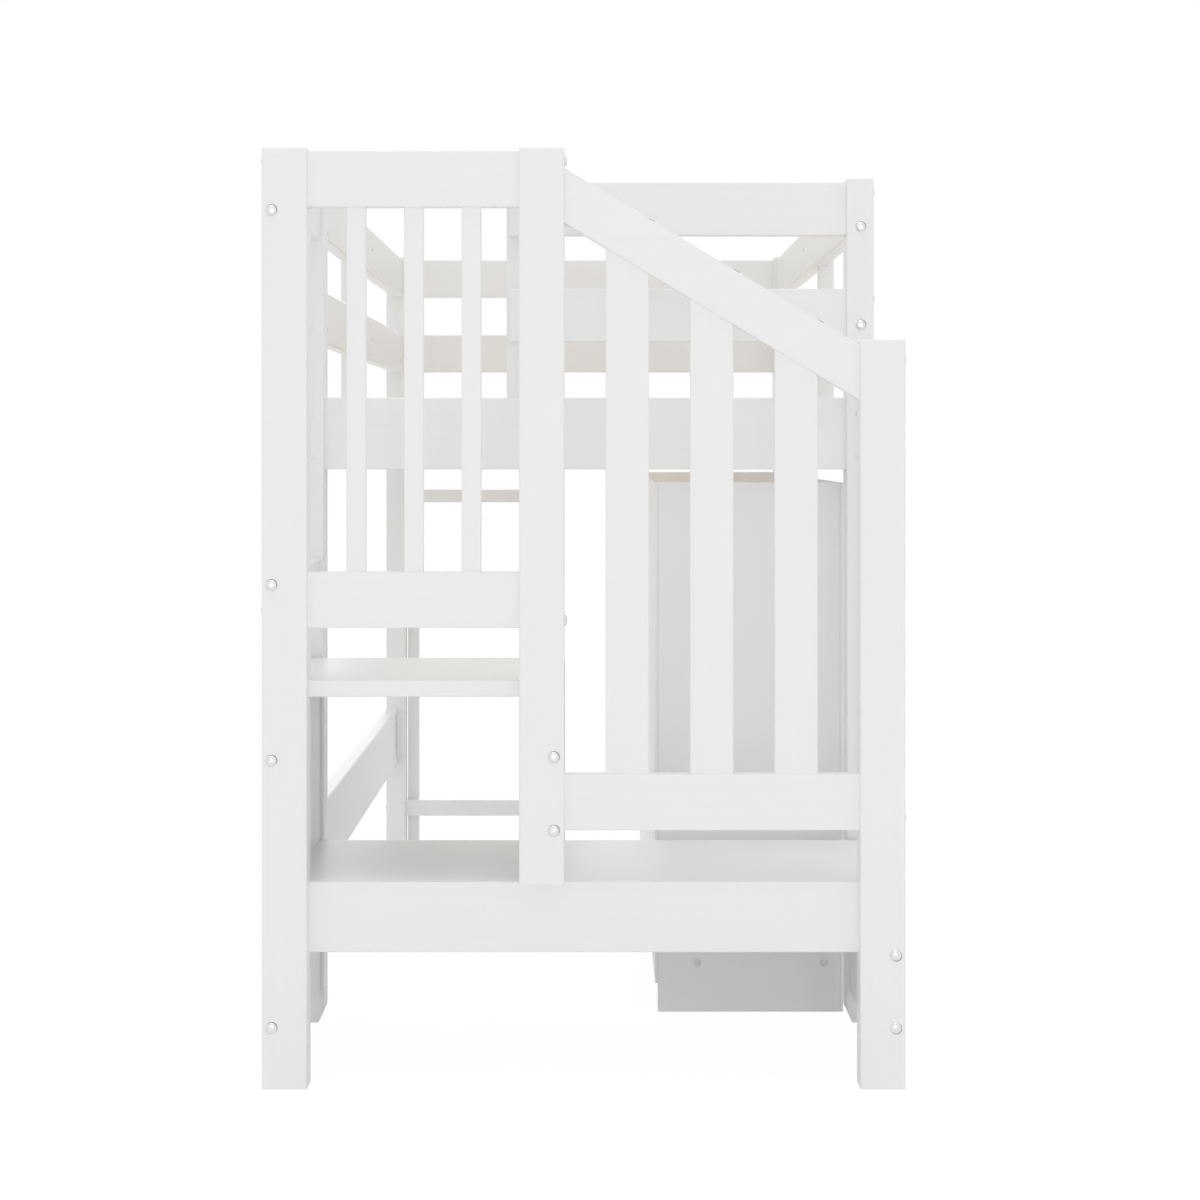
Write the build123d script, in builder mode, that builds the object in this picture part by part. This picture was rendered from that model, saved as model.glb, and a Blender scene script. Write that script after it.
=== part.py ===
from build123d import *
import os

os.makedirs("parts", exist_ok=True)

# A painted timber loft bed with a two-step stair across its near end and a storage
# cabinet under the long side that faces the room.
# +X is the room side, +Y runs from the stair to the far end, +Z is up.
# The origin is on the floor at the centre of the whole bed.

# Overall sizes
overall_width = 1066.8
overall_height = 1560.0
stair_depth = 481.0
bed_length = 2004.0
half_width = overall_width / 2
total_length = stair_depth + bed_length
front_y = -total_length / 2
bed_near_y = front_y + stair_depth
bed_far_y = front_y + total_length

# Timber sections
stair_post_width = 75.0
stair_post_depth = 57.0
bed_post_width = 50.0
bed_post_depth = 68.0
rail_thickness = 30.0
rail_recess = 12.0
stair_rail_height = 93.0
guard_rail_height = 98.0
bed_rail_height = 133.0
post_edge = 3.0
rail_edge = 2.5
board_edge = 1.5

# Levels of the rails, measured to their lower edges
stair_top_rail_z = 1463.0
stair_left_rail_z = 763.0
stair_right_rail_z = 427.0
guard_top_z = 1456.0
guard_second_z = 1259.0
bed_rail_z = 1022.0

# Stair
right_post_height = 1242.0
middle_post_x = -69.5
middle_board_inset = 5.0
handrail_slope = 0.6
handrail_top_at_centre = 1509.0
handrail_drop = 92.0
tread_thickness = 28.0
lower_tread_top = 339.0
upper_tread_top = 675.0
tread_front_setback = 29.0
tread_back_gap = 12.0
apron_height = 118.0
apron_thickness = 20.0
narrow_slat_width = 32.5
wide_slat_width = 72.0
slat_thickness = 16.0
slat_count = 3
tenon = 10.0
stair_board_thickness = 38.0
stair_board_foot = 56.0
side_inner_x = 490.0
screw_hole_radius = 4.5
screw_hole_depth = 16.0

# Bed
side_rail_thickness = 30.0
slat_support_size = 30.0
slat_support_z = 1030.0
bed_slat_width = 70.0
bed_slat_thickness = 18.0
bed_slat_count = 13
entry_post_left = -147.0
entry_post_width = 75.0
entry_post_thickness = 25.0
guard_rail_left_end = -140.5
guard_support_y = front_y + 1273.0
guard_support_width = 68.0
guard_support_thickness = 30.0
stretcher_thickness = 28.0
stretcher_z = 230.0
stretcher_height = 146.0
cleat_width = 19.0
cleat_depth = 29.0
cleat_z = 258.0
cleat_height = 106.0
foot_cut_width = 10.0
foot_cut_height = 21.5

# Open frame at the far end
low_rail_z = 92.0
low_rail_height = 41.0
low_rail_thickness = 25.0
low_rail_setback = 22.0
upright_width = 29.0
upright_left_x = -479.5
far_frame_width = 368.5
top_rail_z = 917.0
top_rail_height = 34.0
top_rail_depth = 60.0

# Cabinet
panel = 16.0
back_thickness = 5.0
cabinet_left_x = 136.0
cabinet_front_x = 480.0
cabinet_near_y = front_y + 569.0
cabinet_far_y = bed_far_y - bed_post_depth - 7.0
cabinet_height = 997.0
cabinet_floor_z = 84.0
back_foot_z = 54.0
plinth_setback = 8.0
tie_inset = 2.0
tie_width = 16.0
tie_length = 80.0
tie_ys = (1250.0, 1900.0)
shelf_count = 2
shelf_setback = 20.0
rod_radius = 12.5
rod_x = 300.0
rod_drop = 60.0
finger_gap = 22.0
front_gap = 3.0
drawer_count = 3
drawer_depth = 300.0
drawer_wall = 12.0
drawer_bottom = 6.0
drawer_height = 190.0
drawer_side_gap = 2.0
bearer_width = 25.0
bearer_height = 18.0
bearer_gap = 0.5
door_edge_gap = 2.0
door_end_gap = 1.5
pivot_radius = 4.0
pivot_clearance = 0.05
pivot_reach = 10.0
grip_width = 170.0

# Bolts, whose shanks, bores and heads are drawn with flat sides to keep them light
bolt_radius = 3.0
bolt_clearance = 0.3
bolt_head_radius = 9.5
bolt_head_height = 4.5
bolt_head_taper = 35.0
bolt_reach = 96.0
stair_bolt_reach = 110.0
side_bolt_reach = 130.0
shank_sides = 6
head_sides = 12

# Planes and spans that several pieces share
stair_rail_y = (front_y + rail_recess, front_y + rail_recess + rail_thickness)
near_rail_y = (bed_near_y + rail_recess, bed_near_y + rail_recess + rail_thickness)
far_rail_y = (bed_far_y - rail_recess - rail_thickness, bed_far_y - rail_recess)
between_bed_posts_y = (bed_near_y + bed_post_depth, bed_far_y - bed_post_depth)
stair_side_y = (front_y + stair_post_depth, bed_near_y)
stair_post_inner_x = half_width - stair_post_width
bed_post_inner_x = half_width - bed_post_width
middle_post_left = middle_post_x - stair_post_width / 2
middle_post_right = middle_post_x + stair_post_width / 2
middle_board_right = middle_post_right - middle_board_inset
tread_back_y = bed_near_y - tread_back_gap
tread_front_y = front_y + tread_front_setback
side_rail_x = (side_inner_x, side_inner_x + side_rail_thickness)
stair_board_x = (side_inner_x, side_inner_x + stair_board_thickness)
stretcher_x = (-half_width, -half_width + stretcher_thickness)
low_rail_near_y = bed_far_y - bed_post_depth + low_rail_setback
low_rail_y = (low_rail_near_y, low_rail_near_y + low_rail_thickness)
low_rail_span = (low_rail_z, low_rail_z + low_rail_height)


def mirrored(span):
    """The same span on the wall side of the bed."""
    return (-span[1], -span[0])


def raised(low, height):
    """The vertical span of a piece from its lower edge and its height."""
    return (low, low + height)


def middle(span):
    return (span[0] + span[1]) / 2


def handrail_top(x):
    """Height of the handrail's upper edge at one place across the stair."""
    return handrail_top_at_centre - handrail_slope * x


# Each bolt is its head's seat, the way it points and how far it reaches.
into_far = (0, 1, 0)
into_near = (0, -1, 0)
into_right = (1, 0, 0)
into_left = (-1, 0, 0)
bolts = []


def add_bolts(x, y, levels, way, reach=bolt_reach):
    for z in levels:
        bolts.append(((x, y, z), way, reach))


# Stair post bolts: the front ones hold the side boards, the side ones hold the rails.
stair_bolt_x = half_width - 16.0
middle_bolt_x = middle_board_right - 12.5
rail_bolt_y = middle(stair_rail_y)
add_bolts(-stair_bolt_x, front_y, (1456.0, 835.0, 544.0, 101.5), into_far)
add_bolts(stair_bolt_x, front_y, (222.0, 101.5), into_far)
add_bolts(middle_bolt_x, front_y, (550.0, 428.0), into_far)
add_bolts(-half_width, rail_bolt_y, (1541.0, 792.0), into_right, stair_bolt_reach)
add_bolts(middle_post_right, rail_bolt_y, (1541.0, 775.0), into_left, stair_bolt_reach)
add_bolts(half_width, rail_bolt_y, (1208.0, 446.0), into_left, stair_bolt_reach)

# Bed post bolts: two through each rail end of the bed, one through each guard rail.
side_bolt_x = middle(side_rail_x) + 4.0
side_rail_levels = (1470.5, 1289.0, 1126.0, 1047.0)
end_guard_levels = (1537.0, 1339.0)
end_rail_levels = (1088.0,)
stretcher_levels = (303.0,)
for side in (-1, 1):
    side_x = side * side_bolt_x
    add_bolts(side_x, bed_near_y, side_rail_levels, into_far, side_bolt_reach)
    add_bolts(side_x, bed_far_y, side_rail_levels, into_near, side_bolt_reach)
    outward = into_left if side > 0 else into_right
    edge_x = side * half_width
    add_bolts(edge_x, middle(near_rail_y), end_rail_levels, outward)
    add_bolts(edge_x, middle(far_rail_y), end_guard_levels + end_rail_levels, outward)
    add_bolts(edge_x, middle(low_rail_y), (middle(low_rail_span),), outward)
add_bolts(half_width, middle(near_rail_y), end_guard_levels, into_left)
add_bolts(middle(stretcher_x), bed_near_y, stretcher_levels, into_far)
add_bolts(middle(stretcher_x), bed_far_y, stretcher_levels, into_near)


def bolt_meets(bolt, spans, radius, start, end):
    """True where a round length of a bolt reaches inside the box of three spans.

    The length runs from start to end, measured from the seat along the bolt.
    """
    seat, way, _ = bolt
    for axis in range(3):
        first = seat[axis] + way[axis] * start
        last = seat[axis] + way[axis] * end
        reach = 0 if way[axis] else radius
        if max(first, last) + reach <= spans[axis][0] + bolt_clearance:
            return False
        if min(first, last) - reach >= spans[axis][1] - bolt_clearance:
            return False
    return True


def prism(seat, way, radius, sides, height, taper=0, mode=Mode.ADD):
    """A many-sided rod on a bolt's axis, as wide across its corners as a round one."""
    with BuildSketch(Plane(origin=seat, z_dir=way)) as outline:
        RegularPolygon(radius, sides)
    extrude(outline.sketch, amount=height, dir=way, taper=taper, mode=mode)


def drill(*spans):
    """Bores the bolt holes of the piece being built, and pockets for covered heads."""
    for bolt in bolts:
        seat, way, reach = bolt
        back = tuple(-step for step in way)
        if bolt_meets(bolt, spans, bolt_radius, 0, reach):
            prism(
                seat,
                way,
                bolt_radius + bolt_clearance,
                shank_sides,
                reach + bolt_clearance,
                mode=Mode.SUBTRACT,
            )
        if bolt_meets(bolt, spans, bolt_head_radius, -bolt_head_height, 0):
            prism(
                seat,
                back,
                bolt_head_radius + bolt_clearance,
                head_sides,
                bolt_head_height + bolt_clearance,
                mode=Mode.SUBTRACT,
            )


def block(x_span, y_span, z_span, mode=Mode.ADD):
    """A plain box between three spans."""
    with Locations((middle(x_span), middle(y_span), middle(z_span))):
        Box(
            x_span[1] - x_span[0],
            y_span[1] - y_span[0],
            z_span[1] - z_span[0],
            mode=mode,
        )


def save(piece, label):
    piece.part.label = label
    export_step(piece.part, f"parts/{label}.step")


def board(label, x_spans, y_spans, z_spans, edge=rail_edge, rounded=True, pockets=()):
    """One or more boards of one node, with eased long edges, pockets and bolt holes.

    Each argument is one span, or a list of spans when the node holds several boards.
    """
    lists = []
    for spans in (x_spans, y_spans, z_spans):
        lists.append(spans if isinstance(spans, list) else [spans])
    count = max(len(spans) for spans in lists)
    boxes = list(zip(*(spans * count if len(spans) == 1 else spans for spans in lists)))
    with BuildPart() as piece:
        for box in boxes:
            block(*box)
        if edge:
            sizes = [span[1] - span[0] for span in boxes[0]]
            longest = (Axis.X, Axis.Y, Axis.Z)[sizes.index(max(sizes))]
            long_edges = piece.edges().filter_by(longest)
            if rounded:
                fillet(long_edges, edge)
            else:
                chamfer(long_edges, edge)
        for pocket in pockets:
            block(*pocket, mode=Mode.SUBTRACT)
        for box in boxes:
            drill(*box)
    save(piece, label)


def stair_post(label, x_left, foot_z, top_z):
    """A square-footed stair post with rounded corners and an eased top."""
    x_span = (x_left, x_left + stair_post_width)
    y_span = (front_y, front_y + stair_post_depth)
    with BuildPart() as post:
        with BuildSketch(Plane.XY.offset(foot_z)):
            with Locations((middle(x_span), middle(y_span))):
                RectangleRounded(stair_post_width, stair_post_depth, post_edge)
        extrude(amount=top_z - foot_z)
        chamfer(post.faces().sort_by(Axis.Z)[-1].edges(), board_edge)
        drill(x_span, y_span, (foot_z, top_z))
    save(post, label)


def bed_post(label, side, y_near):
    """A bed post whose foot is cut back on the side that faces under the bed."""
    outer = side * half_width
    inner = side * bed_post_inner_x
    cut = inner + side * foot_cut_width
    y_span = (y_near, y_near + bed_post_depth)
    x_span = (min(outer, inner), max(outer, inner))
    with BuildPart() as post:
        with BuildSketch(Plane.XZ.offset(-y_near)):
            with BuildLine():
                Polyline(
                    (outer, 0),
                    (cut, 0),
                    (inner, foot_cut_height),
                    (inner, overall_height),
                    (outer, overall_height),
                    close=True,
                )
            make_face()
        extrude(amount=-bed_post_depth)
        fillet(post.edges().filter_by(Axis.Z), post_edge)
        chamfer(post.faces().sort_by(Axis.Z)[-1].edges(), board_edge)
        drill(x_span, y_span, (0, overall_height))
    save(post, label)


stair_post("stair_post_left", -half_width, 0, overall_height)
stair_post("stair_post_middle", middle_post_left, lower_tread_top, overall_height)
stair_post("stair_post_right", stair_post_inner_x, 0, right_post_height)
for side, hand in ((-1, "left"), (1, "right")):
    bed_post(f"bed_post_near_{hand}", side, bed_near_y)
    bed_post(f"bed_post_far_{hand}", side, bed_far_y - bed_post_depth)


def spread(left, right, width, count):
    """Spans of evenly spaced slats of one width that fill a bay."""
    gap = (right - left - count * width) / (count + 1)
    starts = [left + gap + step * (width + gap) for step in range(count)]
    return [(start, start + width) for start in starts]


# Slats of the stair's outer guard, tenoned into the rails above and below them
slat_y = (rail_bolt_y - slat_thickness / 2, rail_bolt_y + slat_thickness / 2)
narrow_slats = spread(
    -stair_post_inner_x, middle_post_left, narrow_slat_width, slat_count
)
wide_slats = spread(middle_post_right, stair_post_inner_x, wide_slat_width, slat_count)
stair_left_rail_top = stair_left_rail_z + stair_rail_height
stair_right_rail_top = stair_right_rail_z + stair_rail_height
narrow_slat_z = (stair_left_rail_top - tenon, stair_top_rail_z + tenon)
left_bay_x = (-stair_post_inner_x, middle_post_left)
right_bay_x = (middle_post_right, stair_post_inner_x)
board(
    "stair_top_rail",
    left_bay_x,
    stair_rail_y,
    raised(stair_top_rail_z, stair_rail_height),
    pockets=[(slat, slat_y, narrow_slat_z) for slat in narrow_slats],
)
board(
    "stair_left_rail",
    left_bay_x,
    stair_rail_y,
    raised(stair_left_rail_z, stair_rail_height),
    pockets=[(slat, slat_y, narrow_slat_z) for slat in narrow_slats],
)
board(
    "stair_narrow_slats",
    narrow_slats,
    slat_y,
    narrow_slat_z,
    edge=board_edge,
    rounded=False,
)
board(
    "stair_right_rail",
    right_bay_x,
    stair_rail_y,
    raised(stair_right_rail_z, stair_rail_height),
    pockets=[
        (slat, slat_y, (stair_right_rail_top - tenon, overall_height))
        for slat in wide_slats
    ],
)


def sloped_outline(left, right, top_drop, bottom):
    """Corners of a piece in the stair's outer guard whose top follows the handrail.

    Its upper edge lies top_drop under the handrail's upper edge. Its lower edge is
    level where bottom is a height, and parallel to the slope where it is a drop.
    """
    level = bottom > 0
    return (
        (left, bottom if level else handrail_top(left) + bottom),
        (right, bottom if level else handrail_top(right) + bottom),
        (right, handrail_top(right) - top_drop),
        (left, handrail_top(left) - top_drop),
    )


slat_top_drop = handrail_drop - tenon
slope = Axis((0, 0, 0), (1, 0, -handrail_slope))
slope_length = (1 + handrail_slope**2) ** 0.5
slope_normal = (handrail_slope / slope_length, 0, 1 / slope_length)
into_slope = tuple(-step for step in slope_normal)

with BuildPart() as stair_wide_slats:
    with BuildSketch(Plane.XZ.offset(-slat_y[0])):
        for slat in wide_slats:
            foot_z = stair_right_rail_top - tenon
            with BuildLine():
                Polyline(*sloped_outline(*slat, slat_top_drop, foot_z), close=True)
            make_face()
    extrude(amount=-slat_thickness)
    chamfer(stair_wide_slats.edges().filter_by(Axis.Z), board_edge)
save(stair_wide_slats, "stair_wide_slats")

with BuildPart() as stair_handrail:
    with BuildSketch(Plane.XZ.offset(-stair_rail_y[0])):
        with BuildLine():
            Polyline(*sloped_outline(*right_bay_x, 0, -handrail_drop), close=True)
        make_face()
    extrude(amount=-rail_thickness)
    fillet(stair_handrail.edges().filter_by(slope), rail_edge)
    with BuildSketch(Plane.XZ.offset(-slat_y[0])):
        for slat in wide_slats:
            below = handrail_top(slat[1]) - 2 * handrail_drop
            with BuildLine():
                Polyline(*sloped_outline(*slat, slat_top_drop, below), close=True)
            make_face()
    extrude(amount=-slat_thickness, mode=Mode.SUBTRACT)
    # A screw runs square to the slope into the middle of each slat's end.
    for slat in wide_slats:
        foot = middle(slat)
        rise = handrail_drop / slope_length
        entry = (
            foot + rise * slope_normal[0],
            rail_bolt_y,
            handrail_top(foot) - handrail_drop + rise * slope_normal[2],
        )
        prism(
            entry,
            into_slope,
            screw_hole_radius,
            head_sides,
            screw_hole_depth,
            mode=Mode.SUBTRACT,
        )
    drill(right_bay_x, stair_rail_y, (1100, 1560))
save(stair_handrail, "stair_handrail")

# Treads are notched round the posts and rest on the side boards.
apron_back_y = tread_front_y + apron_thickness
post_back_y = front_y + stair_post_depth


def tread(label, left_x, right_x, bay, front, top_z):
    """A tread that fills a bay between posts and widens behind them."""
    with BuildPart() as step:
        with BuildSketch(Plane.XY.offset(top_z - tread_thickness)):
            with BuildLine():
                Polyline(
                    (bay[0], front),
                    (bay[1], front),
                    (bay[1], post_back_y),
                    (right_x, post_back_y),
                    (right_x, tread_back_y),
                    (left_x, tread_back_y),
                    (left_x, post_back_y),
                    (bay[0], post_back_y),
                    close=True,
                )
            make_face()
        extrude(amount=tread_thickness)
        if front == tread_front_y:
            nosing = step.edges().filter_by(Axis.X).group_by(Axis.Y)[0]
            fillet(nosing, rail_edge)
    save(step, label)


full_bay_x = (-stair_post_inner_x, stair_post_inner_x)
stair_board_outer = stair_board_x[1]
tread(
    "tread_lower",
    -stair_board_outer,
    stair_board_outer,
    full_bay_x,
    apron_back_y,
    lower_tread_top,
)
tread(
    "tread_upper",
    -stair_board_outer,
    middle_board_right,
    left_bay_x,
    tread_front_y,
    upper_tread_top,
)
with BuildPart() as tread_apron:
    block(
        full_bay_x,
        (tread_front_y, apron_back_y),
        (lower_tread_top - apron_height, lower_tread_top),
    )
    front_edges = tread_apron.edges().filter_by(Axis.X).group_by(Axis.Y)[0]
    fillet(front_edges, rail_edge)
save(tread_apron, "tread_apron")

# Side boards of the stair
lower_board_z = (stair_board_foot, lower_tread_top - tread_thickness)
upper_board_z = (lower_tread_top, upper_tread_top - tread_thickness)
middle_board_x = (middle_board_right - stair_board_thickness, middle_board_right)
board(
    "stair_side_boards_lower",
    [mirrored(stair_board_x), stair_board_x],
    stair_side_y,
    lower_board_z,
    edge=board_edge,
    rounded=False,
)
with BuildPart() as stair_side_boards_upper:
    block(mirrored(stair_board_x), stair_side_y, upper_board_z)
    block(middle_board_x, (stair_side_y[0], tread_back_y), upper_board_z)
    chamfer(stair_side_boards_upper.edges().filter_by(Axis.Z), board_edge)
    drill(mirrored(stair_board_x), stair_side_y, upper_board_z)
    drill(middle_board_x, stair_side_y, upper_board_z)
save(stair_side_boards_upper, "stair_side_boards_upper")
board(
    "stair_guard_board_low",
    mirrored(stair_board_x),
    stair_side_y,
    raised(stair_left_rail_z, stair_rail_height),
)
board(
    "stair_guard_board_top",
    mirrored(stair_board_x),
    stair_side_y,
    (1446.0, stair_top_rail_z + stair_rail_height),
)

# Rails of the bed's two ends
post_to_post_x = (-bed_post_inner_x, bed_post_inner_x)
guard_z = [raised(low, guard_rail_height) for low in (guard_top_z, guard_second_z)]
bed_rail_span = raised(bed_rail_z, bed_rail_height)
board("end_rail_near", post_to_post_x, near_rail_y, bed_rail_span)
board("end_rail_far", post_to_post_x, far_rail_y, bed_rail_span, rounded=False)
entry_guard_x = (guard_rail_left_end, bed_post_inner_x)
board("guard_rails_near", entry_guard_x, near_rail_y, guard_z)
board("guard_rails_far", post_to_post_x, far_rail_y, guard_z, rounded=False)
board(
    "entry_post",
    raised(entry_post_left, entry_post_width),
    raised(near_rail_y[1], entry_post_thickness),
    (bed_rail_z, guard_top_z + guard_rail_height),
)

# Rails of the long sides, with a notched upright over each pair of guard rails
for span, hand in ((mirrored(side_rail_x), "left"), (side_rail_x, "right")):
    board(f"side_rail_{hand}", span, between_bed_posts_y, bed_rail_span)
    board(f"guard_rails_{hand}", span, between_bed_posts_y, guard_z, rounded=False)

support_foot = bed_rail_z
support_top = guard_top_z + guard_rail_height
support_inner_x = half_width - guard_support_thickness
with BuildPart() as guard_supports:
    with BuildSketch(Plane.XZ.offset(-guard_support_y)):
        with Locations((middle((support_inner_x, half_width)), support_foot)):
            Rectangle(
                guard_support_thickness,
                support_top - support_foot,
                align=(Align.CENTER, Align.MIN),
            )
        notch_depth = side_rail_x[1] - support_inner_x
        for low, high in guard_z + [bed_rail_span]:
            with Locations((support_inner_x, low)):
                Rectangle(
                    notch_depth,
                    high - low,
                    align=(Align.MIN, Align.MIN),
                    mode=Mode.SUBTRACT,
                )
    extrude(amount=-guard_support_width)
    outer_edges = guard_supports.edges().filter_by(Axis.Z).group_by(Axis.X)[-1]
    chamfer(outer_edges, board_edge)
    mirror(about=Plane.YZ)
save(guard_supports, "guard_supports")

# Slats that carry the mattress, on supports along the side rails
support_x = (side_inner_x - slat_support_size, side_inner_x)
slat_support_top = slat_support_z + slat_support_size
board(
    "slat_supports",
    [mirrored(support_x), support_x],
    between_bed_posts_y,
    (slat_support_z, slat_support_top),
    edge=board_edge,
    rounded=False,
)
bed_slat_y = spread(*between_bed_posts_y, bed_slat_width, bed_slat_count)
board(
    "bed_slats",
    (-side_inner_x + 1.0, side_inner_x - 1.0),
    bed_slat_y,
    raised(slat_support_top, bed_slat_thickness),
    edge=board_edge,
    rounded=False,
)

# Low stretcher on the wall side with a cleat in each corner
board(
    "low_stretcher",
    stretcher_x,
    between_bed_posts_y,
    raised(stretcher_z, stretcher_height),
    rounded=False,
)
near_cleat_y = raised(between_bed_posts_y[0], cleat_depth)
far_cleat_y = (between_bed_posts_y[1] - cleat_depth, between_bed_posts_y[1])
board(
    "stretcher_cleats",
    raised(stretcher_x[1], cleat_width),
    [near_cleat_y, far_cleat_y],
    raised(cleat_z, cleat_height),
    edge=board_edge,
    rounded=False,
)

# Open frame at the far end
upright_y = (low_rail_y[1], bed_far_y)
far_frame_x = raised(upright_left_x, far_frame_width)
left_upright_x = raised(upright_left_x, upright_width)
right_upright_x = (far_frame_x[1] - upright_width, far_frame_x[1])
board("far_low_rail", post_to_post_x, low_rail_y, low_rail_span, rounded=False)
board(
    "far_frame_uprights",
    [left_upright_x, right_upright_x],
    upright_y,
    (0, top_rail_z),
    edge=board_edge,
    rounded=False,
)
board(
    "far_frame_top_rail",
    far_frame_x,
    (bed_far_y - top_rail_depth, bed_far_y),
    raised(top_rail_z, top_rail_height),
    edge=board_edge,
    rounded=False,
)

# Cabinet carcass: three bays between two side panels and two dividers
cabinet_x = (cabinet_left_x, cabinet_front_x)
inside_y = (cabinet_near_y + panel, cabinet_far_y - panel)
bay_width = (inside_y[1] - inside_y[0] - 2 * panel) / 3
bays = [
    raised(inside_y[0] + step * (bay_width + panel), bay_width) for step in range(3)
]
inside_z = (cabinet_floor_z + panel, cabinet_height - panel)
drawer_bay, shelf_bay, wardrobe_bay = bays
door_x = (cabinet_front_x - panel, cabinet_front_x)
pivot_x = middle(door_x)
pivot_ys = (
    wardrobe_bay[0] + door_edge_gap + panel / 2,
    wardrobe_bay[1] - door_edge_gap - panel / 2,
)
for end, near_face in (("near", cabinet_near_y), ("far", inside_y[1])):
    board(
        f"cabinet_side_{end}",
        cabinet_x,
        raised(near_face, panel),
        (0, cabinet_height),
        edge=board_edge,
        rounded=False,
    )
board(
    "cabinet_dividers",
    cabinet_x,
    [(drawer_bay[1], shelf_bay[0]), (shelf_bay[1], wardrobe_bay[0])],
    inside_z,
    edge=0,
)
for name, z_span in (
    ("top", (inside_z[1], cabinet_height)),
    ("floor", (cabinet_floor_z, inside_z[0])),
):
    with BuildPart() as deck:
        block(cabinet_x, inside_y, z_span)
        front_edges = deck.edges().filter_by(Axis.Y).group_by(Axis.X)[-1]
        chamfer(front_edges, board_edge)
        for pivot_y in pivot_ys:
            with Locations((pivot_x, pivot_y, middle(z_span))):
                Hole(pivot_radius + pivot_clearance)
    save(deck, f"cabinet_{name}")
board(
    "cabinet_back",
    (cabinet_left_x - back_thickness, cabinet_left_x),
    (cabinet_near_y, cabinet_far_y),
    (back_foot_z, cabinet_height),
    edge=0,
)
plinth_front_x = cabinet_front_x - plinth_setback
board(
    "cabinet_plinth",
    (plinth_front_x - panel, plinth_front_x),
    inside_y,
    (0, cabinet_floor_z),
    edge=0,
)
# Two blocks tie the cabinet's top to the slat support, so it cannot tip forward.
board(
    "cabinet_ties",
    (cabinet_front_x - tie_inset - tie_width, cabinet_front_x - tie_inset),
    [raised(front_y + tie_y, tie_length) for tie_y in tie_ys],
    (cabinet_height, slat_support_z),
    edge=board_edge,
    rounded=False,
)
shelf_pitch = (inside_z[1] - inside_z[0] + panel) / (shelf_count + 1)
board(
    "cabinet_shelves",
    (cabinet_left_x, cabinet_front_x - shelf_setback),
    shelf_bay,
    [
        raised(inside_z[0] + step * shelf_pitch - panel, panel)
        for step in range(1, shelf_count + 1)
    ],
    edge=board_edge,
    rounded=False,
)
with BuildPart() as wardrobe_rod:
    rod_plane = Plane(
        origin=(rod_x, wardrobe_bay[0], inside_z[1] - rod_drop), z_dir=(0, 1, 0)
    )
    with BuildSketch(rod_plane):
        Circle(rod_radius)
    extrude(amount=bay_width)
save(wardrobe_rod, "wardrobe_rod")

# Drawers run on bearers at both sides of their bay, under inset fronts.
drawer_pitch = (inside_z[1] - inside_z[0]) / drawer_count
drawer_levels = [inside_z[0] + step * drawer_pitch for step in range(drawer_count)]
drawer_x = (door_x[0] - drawer_depth, door_x[0])
drawer_y = (drawer_bay[0] + drawer_side_gap, drawer_bay[1] - drawer_side_gap)
bearer_x = (drawer_x[0], drawer_x[1] - panel)
near_bearer_y = raised(drawer_bay[0], bearer_width)
far_bearer_y = (drawer_bay[1] - bearer_width, drawer_bay[1])
board(
    "drawer_bearers",
    bearer_x,
    [near_bearer_y, far_bearer_y] * drawer_count,
    [raised(level, bearer_height) for level in drawer_levels for _ in range(2)],
    edge=0,
)
for number, level in enumerate(drawer_levels, start=1):
    box_z = raised(level + bearer_height + bearer_gap, drawer_height)
    with BuildPart() as drawer_box:
        block(drawer_x, drawer_y, box_z)
        block(
            (drawer_x[0] + drawer_wall, drawer_x[1] - drawer_wall),
            (drawer_y[0] + drawer_wall, drawer_y[1] - drawer_wall),
            (box_z[0] + drawer_bottom, box_z[1] + 1.0),
            mode=Mode.SUBTRACT,
        )
    save(drawer_box, f"drawer_box_{number}")
    front_z = (level + front_gap, level + drawer_pitch - finger_gap)
    board(
        f"drawer_front_{number}",
        door_x,
        drawer_y,
        front_z,
        edge=board_edge,
        rounded=False,
    )


# Wardrobe doors turn on pegs in the cabinet's floor and top.
def door(label, pivot_y, free_y):
    """An inset door with a round hinge edge, pivot pegs and a finger notch on top."""
    toward_free = 1 if free_y > pivot_y else -1
    door_z = (inside_z[0] + door_end_gap, inside_z[1] - door_end_gap)
    notch_start = free_y - toward_free * grip_width
    with BuildPart() as leaf:
        with BuildSketch(Plane.XY.offset(door_z[0])):
            with Locations((pivot_x, middle((pivot_y, free_y)))):
                Rectangle(panel, abs(free_y - pivot_y))
            with Locations((pivot_x, pivot_y)):
                Circle(panel / 2)
        extrude(amount=door_z[1] - door_z[0])
        block(
            (door_x[0] - 1.0, door_x[1] + 1.0),
            tuple(sorted((notch_start, free_y + toward_free))),
            (door_z[1] - finger_gap, door_z[1] + 1.0),
            mode=Mode.SUBTRACT,
        )
        with BuildSketch(Plane.XY.offset(inside_z[0] - pivot_reach)):
            with Locations((pivot_x, pivot_y)):
                Circle(pivot_radius)
        extrude(amount=inside_z[1] - inside_z[0] + 2 * pivot_reach)
    save(leaf, label)


meeting_y = middle(wardrobe_bay)
door("door_near", pivot_ys[0], meeting_y - front_gap / 2)
door("door_far", pivot_ys[1], meeting_y + front_gap / 2)

# Bolts, all alike, in one node
with BuildPart() as frame_bolts:
    for seat, way, reach in bolts:
        back = tuple(-step for step in way)
        prism(seat, way, bolt_radius, shank_sides, reach)
        prism(
            seat,
            back,
            bolt_head_radius,
            head_sides,
            bolt_head_height,
            taper=bolt_head_taper,
        )
save(frame_bolts, "frame_bolts")
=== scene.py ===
import math

import bmesh
import bpy
from mathutils import Matrix, Vector


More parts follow.
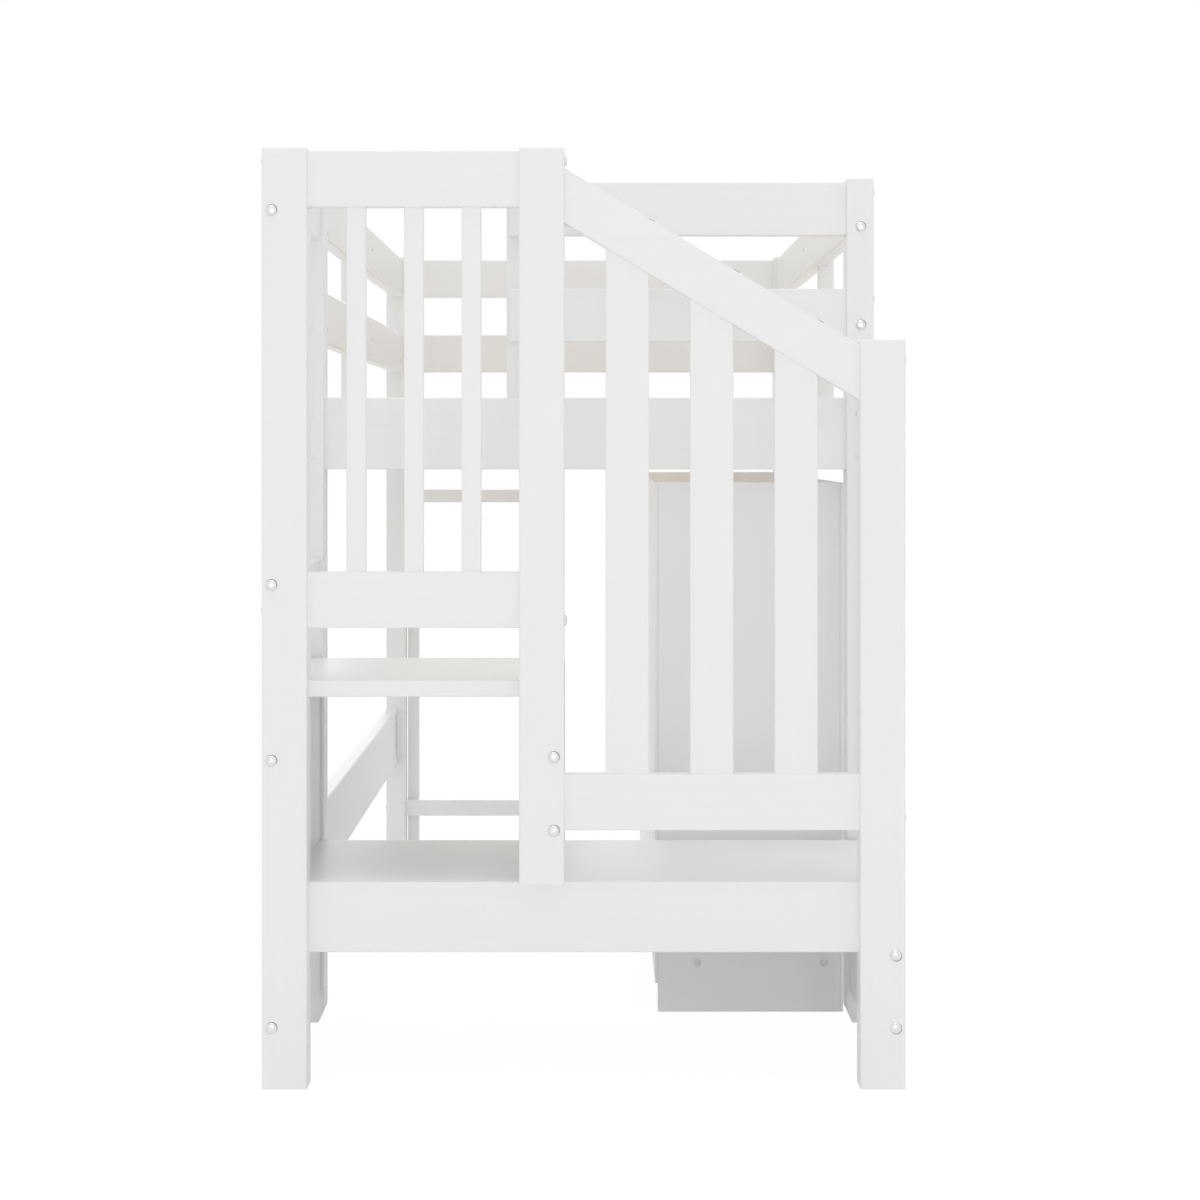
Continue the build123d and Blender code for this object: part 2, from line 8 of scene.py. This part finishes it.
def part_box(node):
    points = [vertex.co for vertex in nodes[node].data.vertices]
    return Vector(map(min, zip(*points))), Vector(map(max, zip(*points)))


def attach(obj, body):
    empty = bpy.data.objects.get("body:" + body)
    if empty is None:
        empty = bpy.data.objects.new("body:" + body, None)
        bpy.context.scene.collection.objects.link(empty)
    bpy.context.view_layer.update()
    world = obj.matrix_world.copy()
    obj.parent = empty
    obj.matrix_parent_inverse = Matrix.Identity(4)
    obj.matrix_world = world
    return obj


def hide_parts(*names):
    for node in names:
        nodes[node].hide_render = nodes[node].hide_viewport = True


# A white painted loft bed with a stair across its near end, dressed for rendering.
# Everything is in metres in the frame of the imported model: +X is the room side, +Y
# runs from the stair to the far end and +Z is up.

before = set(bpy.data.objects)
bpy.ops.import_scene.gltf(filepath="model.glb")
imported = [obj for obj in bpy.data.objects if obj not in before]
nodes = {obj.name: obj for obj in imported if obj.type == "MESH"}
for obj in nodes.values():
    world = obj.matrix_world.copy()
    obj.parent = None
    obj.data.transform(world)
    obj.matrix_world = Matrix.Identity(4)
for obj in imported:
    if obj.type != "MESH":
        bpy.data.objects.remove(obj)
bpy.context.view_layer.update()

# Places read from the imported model
front_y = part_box("stair_post_left")[0][1]
bed_post_low, bed_post_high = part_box("bed_post_near_right")
bed_ends = (bed_post_low[1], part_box("bed_post_far_right")[1][1])


# Materials


class Shader:
    """A node material under construction, with short calls for the nodes it needs."""

    def __init__(self, name):
        self.material = bpy.data.materials.new(name)
        self.material.use_nodes = True
        self.tree = self.material.node_tree
        self.surface = self.tree.nodes["Principled BSDF"]
        self.place = self.tree.nodes.new("ShaderNodeTexCoord").outputs["Object"]

    def link(self, source, target):
        self.tree.links.new(source, target)

    def stretched(self, scale):
        """Object coordinates multiplied by one factor for each axis."""
        mapping = self.tree.nodes.new("ShaderNodeMapping")
        mapping.inputs["Scale"].default_value = scale
        self.link(self.place, mapping.inputs["Vector"])
        return mapping.outputs["Vector"]

    def noise(self, vector, scale, detail=3.0, roughness=0.5, distortion=0.0):
        node = self.tree.nodes.new("ShaderNodeTexNoise")
        node.inputs["Scale"].default_value = scale
        node.inputs["Detail"].default_value = detail
        node.inputs["Roughness"].default_value = roughness
        node.inputs["Distortion"].default_value = distortion
        self.link(vector, node.inputs["Vector"])
        return node.outputs["Fac"]

    def ramp(self, value, stops):
        """A colour ramp through (position, colour) stops."""
        node = self.tree.nodes.new("ShaderNodeValToRGB")
        elements = node.color_ramp.elements
        while len(elements) < len(stops):
            elements.new(0.5)
        for element, (position, colour) in zip(elements, stops):
            element.position = position
            element.color = (*colour, 1.0)
        self.link(value, node.inputs["Fac"])
        return node.outputs["Color"]

    def scaled(self, value, low, high):
        """Maps a value that runs from 0 to 1 to the range from low to high."""
        node = self.tree.nodes.new("ShaderNodeMapRange")
        node.inputs["To Min"].default_value = low
        node.inputs["To Max"].default_value = high
        self.link(value, node.inputs["Value"])
        return node.outputs["Result"]

    def blended(self, factor, first, second, mode="MIX"):
        """Mixes two colours; factor is a number or a socket."""
        node = self.tree.nodes.new("ShaderNodeMix")
        node.data_type = "RGBA"
        node.blend_type = mode
        for socket, value in ((0, factor), (6, first), (7, second)):
            if isinstance(value, bpy.types.NodeSocket):
                self.link(value, node.inputs[socket])
            elif isinstance(value, tuple):
                node.inputs[socket].default_value = (*value, 1.0)
            else:
                node.inputs[socket].default_value = value
        return node.outputs[2]

    def bump(self, height, strength, distance, below=None):
        node = self.tree.nodes.new("ShaderNodeBump")
        node.inputs["Strength"].default_value = strength
        node.inputs["Distance"].default_value = distance
        self.link(height, node.inputs["Height"])
        if below is not None:
            self.link(below, node.inputs["Normal"])
        return node.outputs["Normal"]

    def finish(self, colour, roughness, normal, metallic=0.0):
        self.link(colour, self.surface.inputs["Base Color"])
        self.link(roughness, self.surface.inputs["Roughness"])
        self.link(normal, self.surface.inputs["Normal"])
        self.surface.inputs["Metallic"].default_value = metallic
        return self.material


def along(axis, long_scale, cross_scale):
    """Texture scales that draw lines along one axis of the object."""
    scale = [cross_scale] * 3
    scale["XYZ".index(axis)] = long_scale
    return scale


PAINT_LIGHT = (0.935, 0.935, 0.932)
PAINT_DEEP = (0.92, 0.921, 0.918)


def painted_timber(name, axis):
    """White satin paint over planed timber whose grain runs along one axis."""
    shader = Shader(name)
    grain = shader.noise(shader.stretched(along(axis, 2.0, 90.0)), 1.0, 5.0, 0.62, 0.4)
    pores = shader.noise(shader.stretched(along(axis, 14.0, 520.0)), 1.0, 2.0, 0.5, 0.1)
    roller = shader.noise(shader.place, 420.0, 2.0, 0.55)
    cloud = shader.noise(shader.place, 5.0, 2.0, 0.5)
    tone = shader.blended(cloud, PAINT_LIGHT, PAINT_DEEP)
    lines = shader.ramp(grain, ((0.35, (0.991, 0.991, 0.990)), (0.62, (1, 1, 1))))
    colour = shader.blended(1.0, tone, lines, "MULTIPLY")
    normal = shader.bump(grain, 0.06, 0.0005)
    normal = shader.bump(pores, 0.06, 0.0003, normal)
    normal = shader.bump(roller, 0.05, 0.0002, normal)
    roughness = shader.scaled(roller, 0.36, 0.50)
    return shader.finish(colour, roughness, normal)


def painted_panel(name, light, deep):
    """Lacquer on smooth board, as on the cabinet."""
    shader = Shader(name)
    cloud = shader.noise(shader.place, 3.0, 2.0, 0.5)
    peel = shader.noise(shader.place, 260.0, 2.0, 0.5)
    fine = shader.noise(shader.place, 1400.0, 1.0, 0.5)
    colour = shader.blended(cloud, light, deep)
    normal = shader.bump(peel, 0.05, 0.0003)
    normal = shader.bump(fine, 0.04, 0.0001, normal)
    roughness = shader.scaled(peel, 0.30, 0.42)
    return shader.finish(colour, roughness, normal)


def bare_pine(name, axis):
    """Sanded pine with growth lines along one axis and small knots."""
    shader = Shader(name)
    bands = shader.noise(shader.stretched(along(axis, 1.2, 34.0)), 1.0, 4.0, 0.55, 0.9)
    fibre = shader.noise(shader.stretched(along(axis, 16.0, 700.0)), 1.0, 3.0, 0.6, 0.2)
    wood = shader.ramp(
        bands,
        (
            (0.30, (0.76, 0.62, 0.45)),
            (0.48, (0.84, 0.73, 0.57)),
            (0.60, (0.79, 0.66, 0.49)),
            (0.74, (0.87, 0.77, 0.62)),
        ),
    )
    knots = shader.tree.nodes.new("ShaderNodeTexVoronoi")
    knots.inputs["Scale"].default_value = 1.0
    shader.link(shader.stretched(along(axis, 3.4, 7.0)), knots.inputs["Vector"])
    knot = shader.ramp(
        knots.outputs["Distance"],
        ((0.05, (0.46, 0.28, 0.14)), (0.085, (0.72, 0.52, 0.32)), (0.12, (1, 1, 1))),
    )
    streaks = shader.ramp(fibre, ((0.3, (0.90, 0.88, 0.85)), (0.65, (1, 1, 1))))
    colour = shader.blended(1.0, wood, knot, "MULTIPLY")
    colour = shader.blended(1.0, colour, streaks, "MULTIPLY")
    normal = shader.bump(fibre, 0.12, 0.0003)
    roughness = shader.scaled(fibre, 0.55, 0.75)
    return shader.finish(colour, roughness, normal)


SMUDGE_SHARE = 0.93


def plated_metal(name, colour_value, roughness_low, roughness_high):
    """Bright plated metal with fine turning marks and faint smudges."""
    shader = Shader(name)
    smudged_value = tuple(SMUDGE_SHARE * part for part in colour_value)
    smudge = shader.noise(shader.place, 90.0, 3.0, 0.6)
    turned = shader.noise(shader.place, 2600.0, 1.0, 0.5)
    colour = shader.blended(smudge, colour_value, smudged_value)
    normal = shader.bump(turned, 0.04, 0.00005)
    roughness = shader.scaled(smudge, roughness_low, roughness_high)
    return shader.finish(colour, roughness, normal, metallic=1.0)


paint = {axis: painted_timber(f"painted_timber_{axis.lower()}", axis) for axis in "XYZ"}
panel = painted_panel("painted_panel", (0.93, 0.93, 0.93), (0.915, 0.916, 0.92))
pine = bare_pine("bare_pine", "X")
nickel = plated_metal("nickel_plate", (0.81, 0.81, 0.80), 0.24, 0.36)
# bore_shade is dark grey painted shade for the insides of bores and holes, laid as thin discs
# and rings.
shade = painted_panel("bore_shade", (0.30, 0.30, 0.30), (0.26, 0.26, 0.26))
cover_plastic = painted_panel("cover_plastic", (0.80, 0.80, 0.79), (0.77, 0.77, 0.76))
steel = plated_metal("steel_tube", (0.62, 0.62, 0.63), 0.22, 0.36)


# Nodes of several boards, whose whole box doesn't show which way the grain runs
GRAIN_AXES = {
    "Y": ("slat_supports", "stair_side_boards_lower", "stair_side_boards_upper"),
    "Z": (
        "stair_narrow_slats",
        "stair_wide_slats",
        "guard_supports",
        "far_frame_uprights",
        "stretcher_cleats",
    ),
}


def grain_axis(node):
    """The axis along which a node's boards run."""
    for axis, names in GRAIN_AXES.items():
        if node in names:
            return axis
    low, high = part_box(node)
    sizes = [high[axis] - low[axis] for axis in range(3)]
    return "XYZ"[sizes.index(max(sizes))]


def node_finish(name):
    """The material that a node is made of."""
    if name.startswith(("cabinet_", "drawer_", "door_")) and name != "cabinet_ties":
        return panel
    special = {"bed_slats": pine, "frame_bolts": nickel, "wardrobe_rod": steel}
    return special.get(name) or paint[grain_axis(name)]


for name, node in nodes.items():
    node.data.materials.clear()
    node.data.materials.append(node_finish(name))


def add_piece(name, mesh, material):
    """Links a finished mesh as a piece that rides on the frame."""
    data = bpy.data.meshes.new(name)
    mesh.to_mesh(data)
    mesh.free()
    data.materials.append(material)
    piece = bpy.data.objects.new(name, data)
    bpy.context.scene.collection.objects.link(piece)
    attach(piece, "frame")
    return piece


# Small fasteners


def lathed(mesh, profile, place, outward, steps=40):
    """Adds a closed turned form: (radius, height) points swept round the outward axis."""
    turn = Vector((0.0, 0.0, 1.0)).rotation_difference(Vector(outward)).to_matrix().to_4x4()
    matrix = Matrix.Translation(place) @ turn
    rings = []
    for radius, height in profile:
        if radius == 0.0:
            rings.append([mesh.verts.new(matrix @ Vector((0.0, 0.0, height)))])
            continue
        ring = []
        for step in range(steps):
            angle = 2.0 * math.pi * step / steps
            point = Vector((radius * math.cos(angle), radius * math.sin(angle), height))
            ring.append(mesh.verts.new(matrix @ point))
        rings.append(ring)
    for lower, upper in zip(rings, rings[1:]):
        for step in range(steps):
            ahead = (step + 1) % steps
            corners = [
                lower[step % len(lower)],
                lower[ahead % len(lower)],
                upper[ahead % len(upper)],
                upper[step % len(upper)],
            ]
            face = mesh.faces.new(dict.fromkeys(corners))
            face.smooth = True


def islands(node):
    """The separate solids of a node, each as a list of its points."""
    data = nodes[node].data
    owner = list(range(len(data.vertices)))

    def root(index):
        while owner[index] != index:
            owner[index] = owner[owner[index]]
            index = owner[index]
        return index

    seen = {}
    for vertex in data.vertices:
        key = tuple(round(part, 6) for part in vertex.co)
        owner[root(vertex.index)] = root(seen.setdefault(key, vertex.index))
    for edge in data.edges:
        owner[root(edge.vertices[0])] = root(edge.vertices[1])
    groups = {}
    for vertex in data.vertices:
        groups.setdefault(root(vertex.index), []).append(vertex.co.copy())
    return list(groups.values())


def extent(points):
    """The low and high corners of the box round some points."""
    low = [min(point[axis] for point in points) for axis in range(3)]
    high = [max(point[axis] for point in points) for axis in range(3)]
    return low, high


def head_seats(node, head_height):
    """The seat and the outward direction of each bolt of a node.

    A bolt runs along one axis, and its head is the end where its points lie widest.
    """
    seats = []
    for points in islands(node):
        low, high = extent(points)
        sizes = [high[axis] - low[axis] for axis in range(3)]
        run = sizes.index(max(sizes))
        across = [axis for axis in range(3) if axis != run]
        centre = [(low[axis] + high[axis]) / 2 for axis in range(3)]
        widest = max(points, key=lambda point: sum((point[a] - centre[a]) ** 2 for a in across))
        sign = 1.0 if widest[run] > centre[run] else -1.0
        outward = [0.0, 0.0, 0.0]
        outward[run] = sign
        seat = list(centre)
        seat[run] = (high[run] if sign > 0 else low[run]) - sign * head_height
        seats.append((Vector(seat), Vector(outward)))
    return seats


def disc_profile(radius, low, high):
    """Outline of a plain disc between two heights."""
    return [(0.0, low), (radius, low), (radius, high), (0.0, high)]


RIM_SHARE = 0.12
DOME_STEPS = 9
DOME_START = math.radians(28.0)
SOCKET_SHARE = 0.92
SOCKET_LIP = 0.0003


def button_profile(radius, height, socket_radius, socket_depth):
    """Outline of a button head with a thin rim, a dome and, if it is deep, a socket."""
    rim = RIM_SHARE * height
    outline = [(0.0, 0.0), (radius, 0.0), (radius, rim)]
    for step in range(1, DOME_STEPS + 1):
        angle = DOME_START + (0.5 * math.pi - DOME_START) * step / DOME_STEPS
        across = math.cos(angle) / math.cos(DOME_START)
        up = (math.sin(angle) - math.sin(DOME_START)) / (1.0 - math.sin(DOME_START))
        along_radius = socket_radius + (radius - socket_radius) * across
        outline.append((along_radius, rim + (height - rim) * up))
    if socket_depth:
        outline.append((SOCKET_SHARE * socket_radius, height - SOCKET_LIP))
        outline.append((SOCKET_SHARE * socket_radius, height - socket_depth))
    outline.append((0.0, height - socket_depth))
    return outline


CRISP_ANGLE = math.radians(50.0)


def keep_crisp(piece):
    """Keeps a turned piece smooth on its dome and crisp at its rim and socket."""
    crisp = piece.modifiers.new("crisp", "EDGE_SPLIT")
    crisp.split_angle = CRISP_ANGLE


def fasteners(name, places, profile, material, steps=40):
    """One piece with a turned head at each place, given as a seat and a direction."""
    mesh = bmesh.new()
    for seat, outward in places:
        lathed(mesh, profile, Vector(seat), outward, steps)
    keep_crisp(add_piece(name, mesh, material))


BOLT_HEAD_RADIUS = 0.0095
BOLT_HEAD_HEIGHT = 0.0045
BOLT_SOCKET_RADIUS = 0.0028
BOLT_SOCKET_DEPTH = 0.0018
BOLT_RADIUS = 0.003
SHANK_LENGTH = 0.02
CAP_HEIGHT = 0.0030
CAP_TIP = 0.0004
# A dark ring of painted shade, a little wider than a bolt head and shifted off its centre
SHADE_RING_RADIUS = 0.0096
SHADE_RING_HEIGHT = 0.0002
SHADE_RING_SHIFT = 0.0007
SAME_PLACE = 0.002

bolt_seats = head_seats("frame_bolts", BOLT_HEAD_HEIGHT)
head_profile = button_profile(
    BOLT_HEAD_RADIUS, BOLT_HEAD_HEIGHT, BOLT_SOCKET_RADIUS, BOLT_SOCKET_DEPTH
)
shank_profile = disc_profile(BOLT_RADIUS, -SHANK_LENGTH, 0.0)


def is_capped(seat, outward):
    """White caps cover the heads on the front of the bed's near post on the wall side."""
    return outward.y < -0.5 and seat.x < 0.0 and abs(seat.y - bed_ends[0]) < SAME_PLACE


capped = [place for place in bolt_seats if is_capped(*place)]
bare = [place for place in bolt_seats if not is_capped(*place)]
heads = bmesh.new()
for seat, outward in bare:
    lathed(heads, head_profile, seat, outward)
    lathed(heads, shank_profile, seat, outward, steps=16)
bolt_heads = add_piece("bolt_heads", heads, nickel)
keep_crisp(bolt_heads)
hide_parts("frame_bolts")
cap_profile = button_profile(BOLT_HEAD_RADIUS, CAP_HEIGHT, CAP_TIP, 0.0)
fasteners("bolt_caps", capped, cap_profile, paint["Z"])

# Painted shade: the bore's eased mouth is drawn as a thin dark crescent beside each head.
shade_ring_profile = disc_profile(SHADE_RING_RADIUS, 0.0, SHADE_RING_HEIGHT)
quarter_height = bed_post_high[2] / 4
shade_ring_places = []
for seat, outward in bare:
    # The crescent of painted shade falls below the head on the low bolts of the room side and
    # above it elsewhere.
    low_on_room_side = seat.x > 0.0 and seat.z < quarter_height
    shift = Vector((SHADE_RING_SHIFT, 0.0, -SHADE_RING_SHIFT if low_on_room_side else SHADE_RING_SHIFT))
    shade_ring_places.append((seat + shift - outward * shift.dot(outward), outward))
fasteners("bolt_mouth_shades", shade_ring_places, shade_ring_profile, shade)

# Barrel nuts of the long rails show their ends on the rails' inner faces.
NUT_FROM_SEAT = 0.124
rail_low, rail_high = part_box("side_rail_right")
inner_face_x = rail_low[0]
side_nuts = []
for seat, outward in bolt_seats:
    if abs(outward.y) < 0.5 or not inner_face_x < abs(seat.x) < rail_high[0]:
        continue
    if seat.z < rail_low[2] or min(abs(seat.y - end) for end in bed_ends) > SAME_PLACE:
        continue
    side = 1.0 if seat.x > 0.0 else -1.0
    face = Vector((side * inner_face_x, seat.y - outward.y * NUT_FROM_SEAT, seat.z))
    side_nuts.append((face, Vector((-side, 0.0, 0.0))))
NUT_RADIUS = 0.0072
NUT_PROUD = 0.0006
NUT_RIM_SHARE = 0.6
NUT_FACE_SHARE = 0.9
# A flat dark disc of painted shade stands for the recess of each nut's driver hole.
HOLE_SHADE_RADIUS = 0.0034
HOLE_SHADE_DROP = 0.0034
HOLE_SHADE_PROUD = 1.2 * NUT_PROUD


def nut_faces(name, places):
    """Round metal faces, each with a dark disc of painted shade for the driver hole below its
    middle.
    """
    rim = [(0.0, 0.0), (NUT_RADIUS, 0.0), (NUT_RADIUS, NUT_RIM_SHARE * NUT_PROUD)]
    face = rim + [(NUT_FACE_SHARE * NUT_RADIUS, NUT_PROUD), (0.0, NUT_PROUD)]
    fasteners(name, places, face, nickel, steps=32)
    drop = Vector((0.0, 0.0, HOLE_SHADE_DROP))
    lowered = [(Vector(seat) - drop, outward) for seat, outward in places]
    hole_shade_profile = disc_profile(HOLE_SHADE_RADIUS, 0.0, HOLE_SHADE_PROUD)
    fasteners(f"{name}_hole_shades", lowered, hole_shade_profile, shade, steps=24)


nut_faces("barrel_nuts", side_nuts)

# A small insert in each long guard rail, a little past the middle of the bed
INSERT_Y = 1.54
INSERT_LEVELS = (1.514, 1.312)
inserts = [
    ((side * inner_face_x, front_y + INSERT_Y, level), (-side, 0.0, 0.0))
    for side in (-1.0, 1.0)
    for level in INSERT_LEVELS
]
nut_faces("rail_inserts", inserts)

# Screws through the handrail stand in the bores of its sloped upper face.
handrail_low, handrail_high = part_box("stair_handrail")
handrail_run = handrail_high[0] - handrail_low[0]
# How far the sloped handrail's underside lies below its top, straight down
HANDRAIL_DROP = 0.092
handrail_slope = (handrail_high[2] - handrail_low[2] - HANDRAIL_DROP) / handrail_run
slope_length = math.hypot(1.0, handrail_slope)
slope_up = Vector((handrail_slope / slope_length, 0.0, 1.0 / slope_length))
handrail_y = (handrail_low[1] + handrail_high[1]) / 2


def handrail_top(x):
    return handrail_high[2] - handrail_slope * (x - handrail_low[0])


slat_boxes = [extent(points) for points in islands("stair_wide_slats")]
slat_middles = sorted((low[0] + high[0]) / 2 for low, high in slat_boxes)
screw_places = []
for middle in slat_middles:
    foot = Vector((middle, handrail_y, handrail_top(middle) - HANDRAIL_DROP))
    screw_places.append((foot + slope_up * (HANDRAIL_DROP / slope_length), slope_up))
# A dark disc of painted shade under each screw head stands for the shadowed mouth of its bore.
SCREW_SHADE_RADIUS = 0.0066
SCREW_SHADE_DEPTH = 0.002
SCREW_SHADE_HEIGHT = 0.0014
screw_shade_profile = disc_profile(SCREW_SHADE_RADIUS, -SCREW_SHADE_DEPTH, SCREW_SHADE_HEIGHT)
fasteners("handrail_screw_shades", screw_places, screw_shade_profile, shade, steps=32)
screw_profile = button_profile(
    radius=0.0056, height=0.0024, socket_radius=0.0022, socket_depth=0.0018
)
fasteners("handrail_screws", screw_places, screw_profile, steel, steps=32)

# Countersunk screws hold each bed slat's ends to the supports.
SLAT_SCREW_INSET = 0.016
slat_screws = []
for points in islands("bed_slats"):
    low, high = extent(points)
    slat_y = (low[1] + high[1]) / 2
    for x in (low[0] + SLAT_SCREW_INSET, high[0] - SLAT_SCREW_INSET):
        slat_screws.append(((x, slat_y, high[2]), (0.0, 0.0, 1.0)))
slat_screw_profile = button_profile(
    radius=0.0038, height=0.0004, socket_radius=0.0016, socket_depth=0.0012
)
fasteners("slat_screws", slat_screws, slat_screw_profile, steel, steps=24)

# Round covers over the fittings that join the cabinet's side to its floor
COVER_X = (0.2105, 0.449)
COVER_Z = 0.0925
cover_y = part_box("cabinet_side_near")[0][1]
covers = [((x, cover_y, COVER_Z), (0.0, -1.0, 0.0)) for x in COVER_X]
cover_profile = [
    (0.0, 0.0),
    (0.0075, 0.0),
    (0.0075, 0.0005),
    (0.0068, 0.0009),
    (0.0, 0.0010),
]
fasteners(
    "cabinet_covers", covers, cover_profile, cover_plastic, steps=36
)

# A solid lipping stands on the front edge of the cabinet's near side.
LIPPING_DEPTH = 0.0055
LIPPING_EDGE = 0.0012


def eased_strip(low, high, edge):
    """An upright strip between two corners, with its edges rounded."""
    mesh = bmesh.new()
    bmesh.ops.create_cube(mesh, size=1.0)
    for vertex in mesh.verts:
        for axis in range(3):
            vertex.co[axis] = high[axis] if vertex.co[axis] > 0.0 else low[axis]
    edges = list(mesh.edges)
    bmesh.ops.bevel(mesh, geom=edges, offset=edge, segments=3, profile=0.5, affect="EDGES")
    return mesh


side_low, side_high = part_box("cabinet_side_near")
strip = eased_strip(
    (side_high[0], side_low[1], side_low[2]),
    (side_high[0] + LIPPING_DEPTH, side_high[1], side_high[2]),
    LIPPING_EDGE,
)
add_piece("cabinet_lipping", strip, panel)


# Floor, light and camera


def any_ray(tree, *names):
    """One where any of the named kinds of ray is traced, else zero."""
    path = tree.nodes.new("ShaderNodeLightPath")
    total = path.outputs[names[0]]
    for name in names[1:]:
        larger = tree.nodes.new("ShaderNodeMath")
        larger.operation = "MAXIMUM"
        tree.links.new(total, larger.inputs[0])
        tree.links.new(path.outputs[name], larger.inputs[1])
        total = larger.outputs[0]
    return total


SEEN_RAYS = ("Is Camera Ray", "Is Glossy Ray", "Is Transmission Ray")
AMBIENT = 0.75
FLOOR_SIZE = 60.0
FLOOR_WHITE = (0.96, 0.96, 0.96, 1.0)
FLOOR_GLOW_SHARE = 0.93
FLOOR_GLOW_STRENGTH = 1.03


def build_world():
    world = bpy.data.worlds.new("studio")
    bpy.context.scene.world = world
    world.use_nodes = True
    tree = world.node_tree
    background = tree.nodes["Background"]
    background.inputs["Color"].default_value = (1.0, 1.0, 1.0, 1.0)
    strength = tree.nodes.new("ShaderNodeMapRange")
    strength.inputs["To Min"].default_value = AMBIENT
    strength.inputs["To Max"].default_value = 1.0
    tree.links.new(any_ray(tree, *SEEN_RAYS), strength.inputs["Value"])
    tree.links.new(strength.outputs["Result"], background.inputs["Strength"])


def build_floor():
    mesh = bmesh.new()
    bmesh.ops.create_grid(mesh, x_segments=1, y_segments=1, size=FLOOR_SIZE / 2)
    data = bpy.data.meshes.new("floor")
    mesh.to_mesh(data)
    mesh.free()
    floor = bpy.data.objects.new("floor", data)
    bpy.context.scene.collection.objects.link(floor)
    material = bpy.data.materials.new("floor_white")
    material.use_nodes = True
    tree = material.node_tree
    surface = tree.nodes["Principled BSDF"]
    surface.inputs["Base Color"].default_value = FLOOR_WHITE
    surface.inputs["Roughness"].default_value = 0.9
    surface.inputs["Specular IOR Level"].default_value = 0.0
    glow = tree.nodes.new("ShaderNodeEmission")
    mixer = tree.nodes.new("ShaderNodeMixShader")
    share = tree.nodes.new("ShaderNodeMath")
    share.operation = "MULTIPLY"
    share.inputs[1].default_value = FLOOR_GLOW_SHARE
    tree.links.new(any_ray(tree, *SEEN_RAYS), share.inputs[0])
    tree.links.new(share.outputs[0], mixer.inputs[0])
    glow.inputs["Strength"].default_value = FLOOR_GLOW_STRENGTH
    tree.links.new(surface.outputs["BSDF"], mixer.inputs[1])
    tree.links.new(glow.outputs["Emission"], mixer.inputs[2])
    tree.links.new(mixer.outputs["Shader"], tree.nodes["Material Output"].inputs["Surface"])
    data.materials.append(material)


def area_light(name, place, target, size, power):
    data = bpy.data.lights.new(name, "AREA")
    data.shape = "SQUARE"
    data.size = size
    data.energy = power
    lamp = bpy.data.objects.new(name, data)
    bpy.context.scene.collection.objects.link(lamp)
    lamp.location = place
    lamp.rotation_euler = (Vector(target) - Vector(place)).to_track_quat("-Z", "Y").to_euler()


OBJECT_CENTRE = (0.0, 0.0, 0.8)
# Name, place, size and power of each lamp
LAMPS = (
    ("front_softbox", (0.2, -13.0, 1.6), 3.0, 105.0),
    ("top_softbox", (0.0, -1.5, 11.0), 5.0, 150.0),
    ("back_softbox", (0.0, 12.0, 6.0), 4.0, 250.0),
)
CAMERA_X = 0.0272
CAMERA_DISTANCE = 4.146
CAMERA_HEIGHT = 1.067
CAMERA_LENS = 75.1
CAMERA_SHIFT = -0.129


def build_camera():
    data = bpy.data.cameras.new("camera")
    data.lens = CAMERA_LENS
    data.sensor_width = 36.0
    data.shift_y = CAMERA_SHIFT
    data.clip_end = 200.0
    camera = bpy.data.objects.new("camera", data)
    bpy.context.scene.collection.objects.link(camera)
    camera.location = (CAMERA_X, front_y - CAMERA_DISTANCE, CAMERA_HEIGHT)
    camera.rotation_euler = (math.radians(90.0), 0.0, 0.0)
    bpy.context.scene.camera = camera


build_world()
build_floor()
build_camera()
for name, place, size, power in LAMPS:
    area_light(name, place, OBJECT_CENTRE, size, power)
bpy.context.scene.view_settings.view_transform = "Standard"
